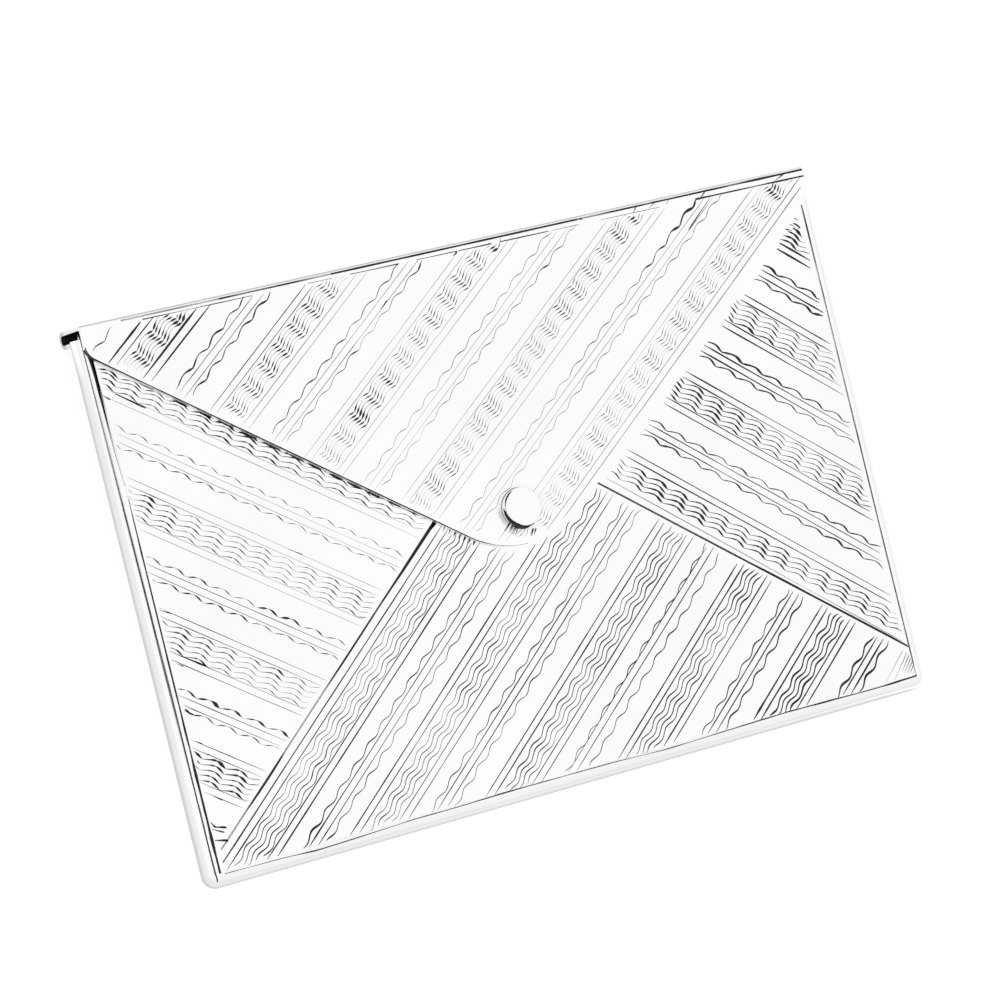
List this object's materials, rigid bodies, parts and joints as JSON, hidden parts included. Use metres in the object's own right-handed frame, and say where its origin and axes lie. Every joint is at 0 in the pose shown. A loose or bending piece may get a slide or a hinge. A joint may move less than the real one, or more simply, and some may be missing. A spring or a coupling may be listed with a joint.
{
  "type": "business card case",
  "caption": "Flat sheet-silver card case shaped like a closed envelope: a pointed flap with a button turns on a pin hinge along the top edge.",
  "frame": {"origin": "under the middle of the closed case, level with the back of the hinge curl", "axes": "+X along the width, to the right seen from the front; +Y towards the hinge; +Z out of the front"},
  "size_m": [0.095, 0.063, 0.0072],
  "materials": {
    "silver": "polished silver with fine scratches",
    "hinge_silver": "duller drawn silver wire and tube"
  },
  "bodies": {
    "body": {"edge_band": "silver", "front_panel": "silver", "back_panel": "silver", "body_tube_left": "hinge_silver", "body_tube_right": "hinge_silver", "hinge_pin": "hinge_silver"},
    "lid": {"lid": "silver", "lid_tube_left": "hinge_silver", "lid_tube_middle": "hinge_silver", "lid_tube_right": "hinge_silver", "button": "silver", "rivet_washer": "hinge_silver"}
  },
  "joints": [
    {"name": "lid_hinge", "type": "hinge", "parent": "body", "child": "lid", "pos_m": [0, 0.03053, 0.00097], "axis": [-1, 0, 0], "range_deg": [0, 180]}
  ]
}
